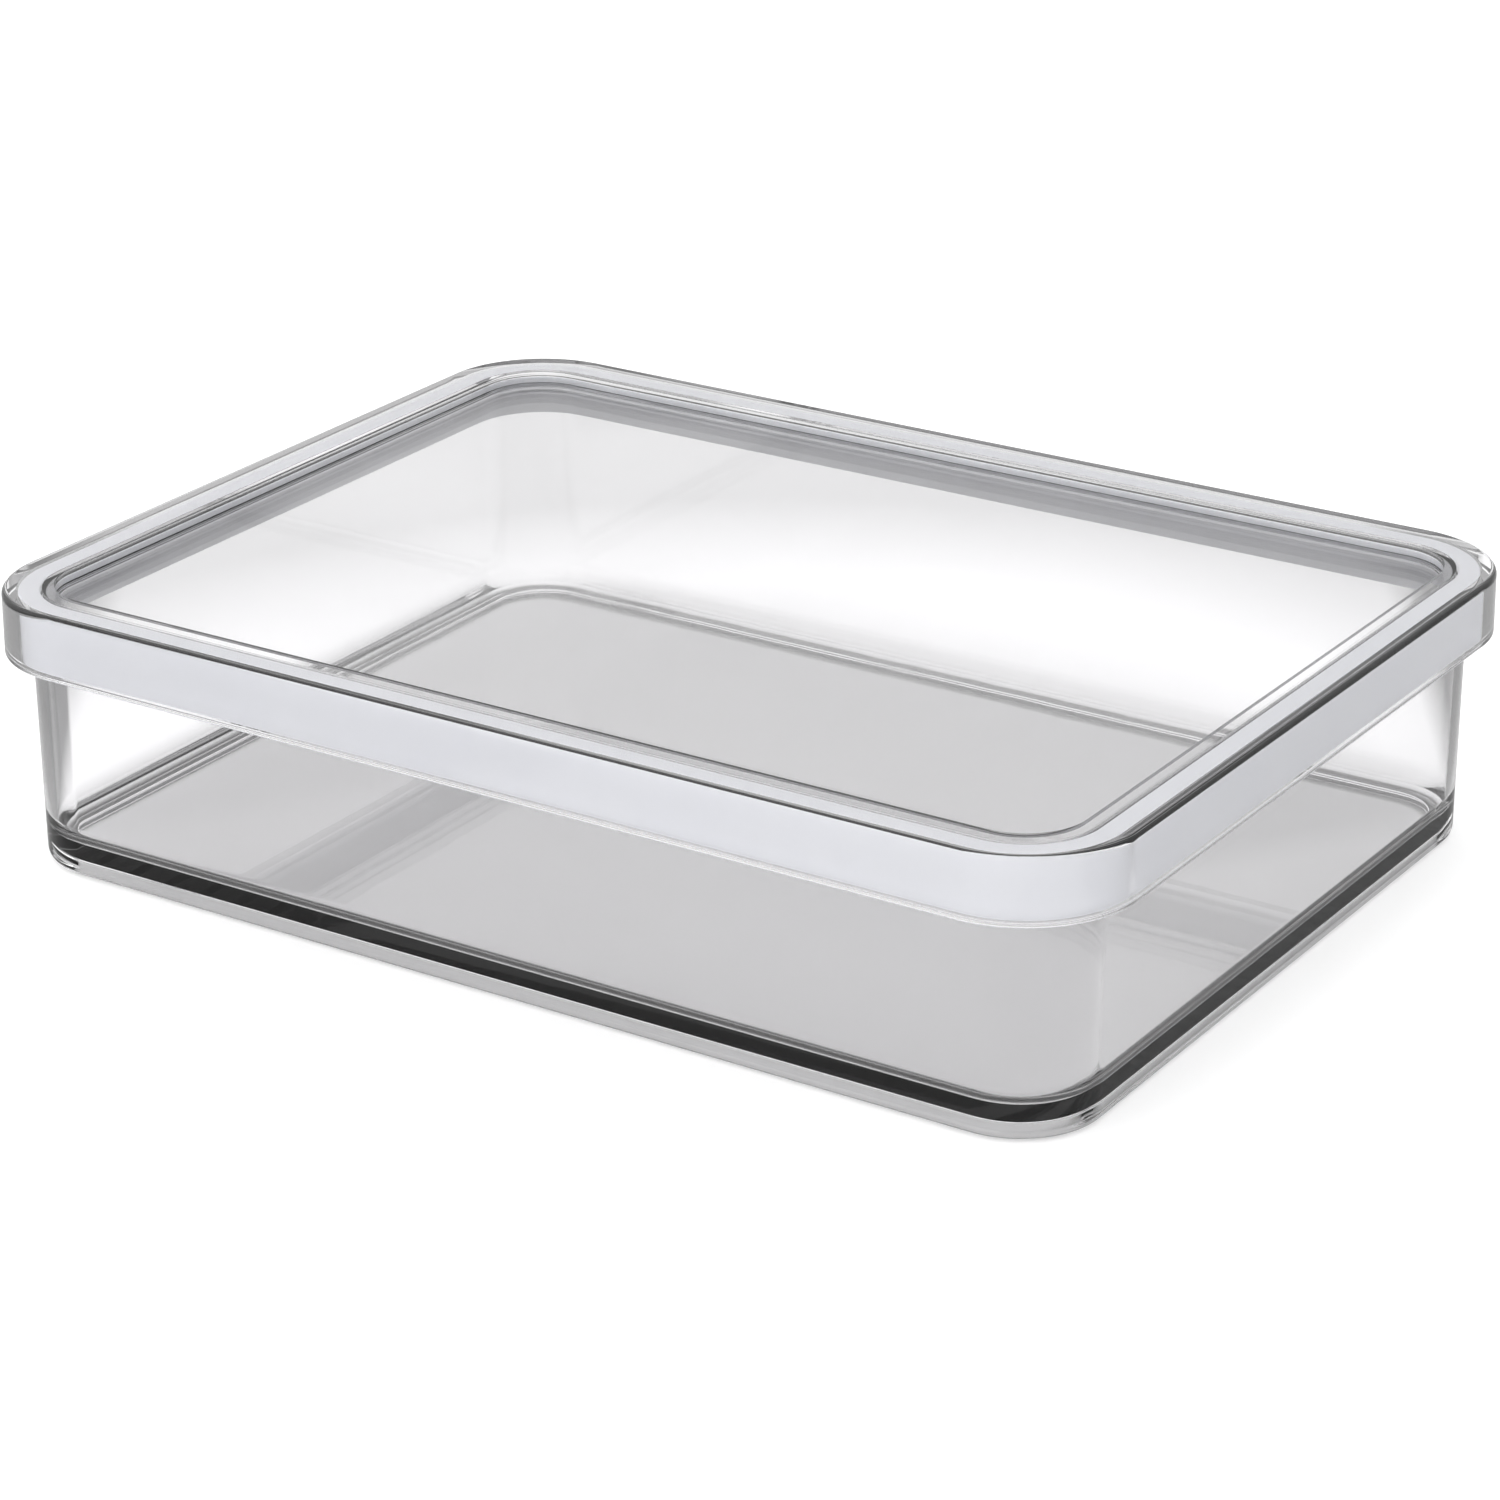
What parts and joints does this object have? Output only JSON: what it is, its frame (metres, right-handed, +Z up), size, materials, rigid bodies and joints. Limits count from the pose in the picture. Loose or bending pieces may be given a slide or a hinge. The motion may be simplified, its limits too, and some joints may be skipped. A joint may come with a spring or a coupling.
{
  "type": "dry food container",
  "caption": "Low rectangular clear storage box with rounded corners, a lift-off clear lid with a recessed top, and a pale seal band behind the lid's skirt.",
  "frame": {"origin": "middle of the box's footprint, at the height of the ring it stands on", "axes": "+X along the long side, +Y along the short side, +Z up through the lid"},
  "size_m": [0.2, 0.15, 0.0458],
  "materials": {
    "container_clear": "clear styrene plastic, polished",
    "lid_clear": "clear styrene plastic, polished",
    "seal_silicone": "pale milky silicone, satin"
  },
  "bodies": {
    "container": {"container_body": "container_clear"},
    "lid": {"lid_shell": "lid_clear", "seal_ring": "seal_silicone"}
  },
  "joints": [
    {"name": "lid_lift", "type": "slide", "parent": "container", "child": "lid", "axis": [0, 0, 1], "range_m": [0, 0.06]}
  ]
}
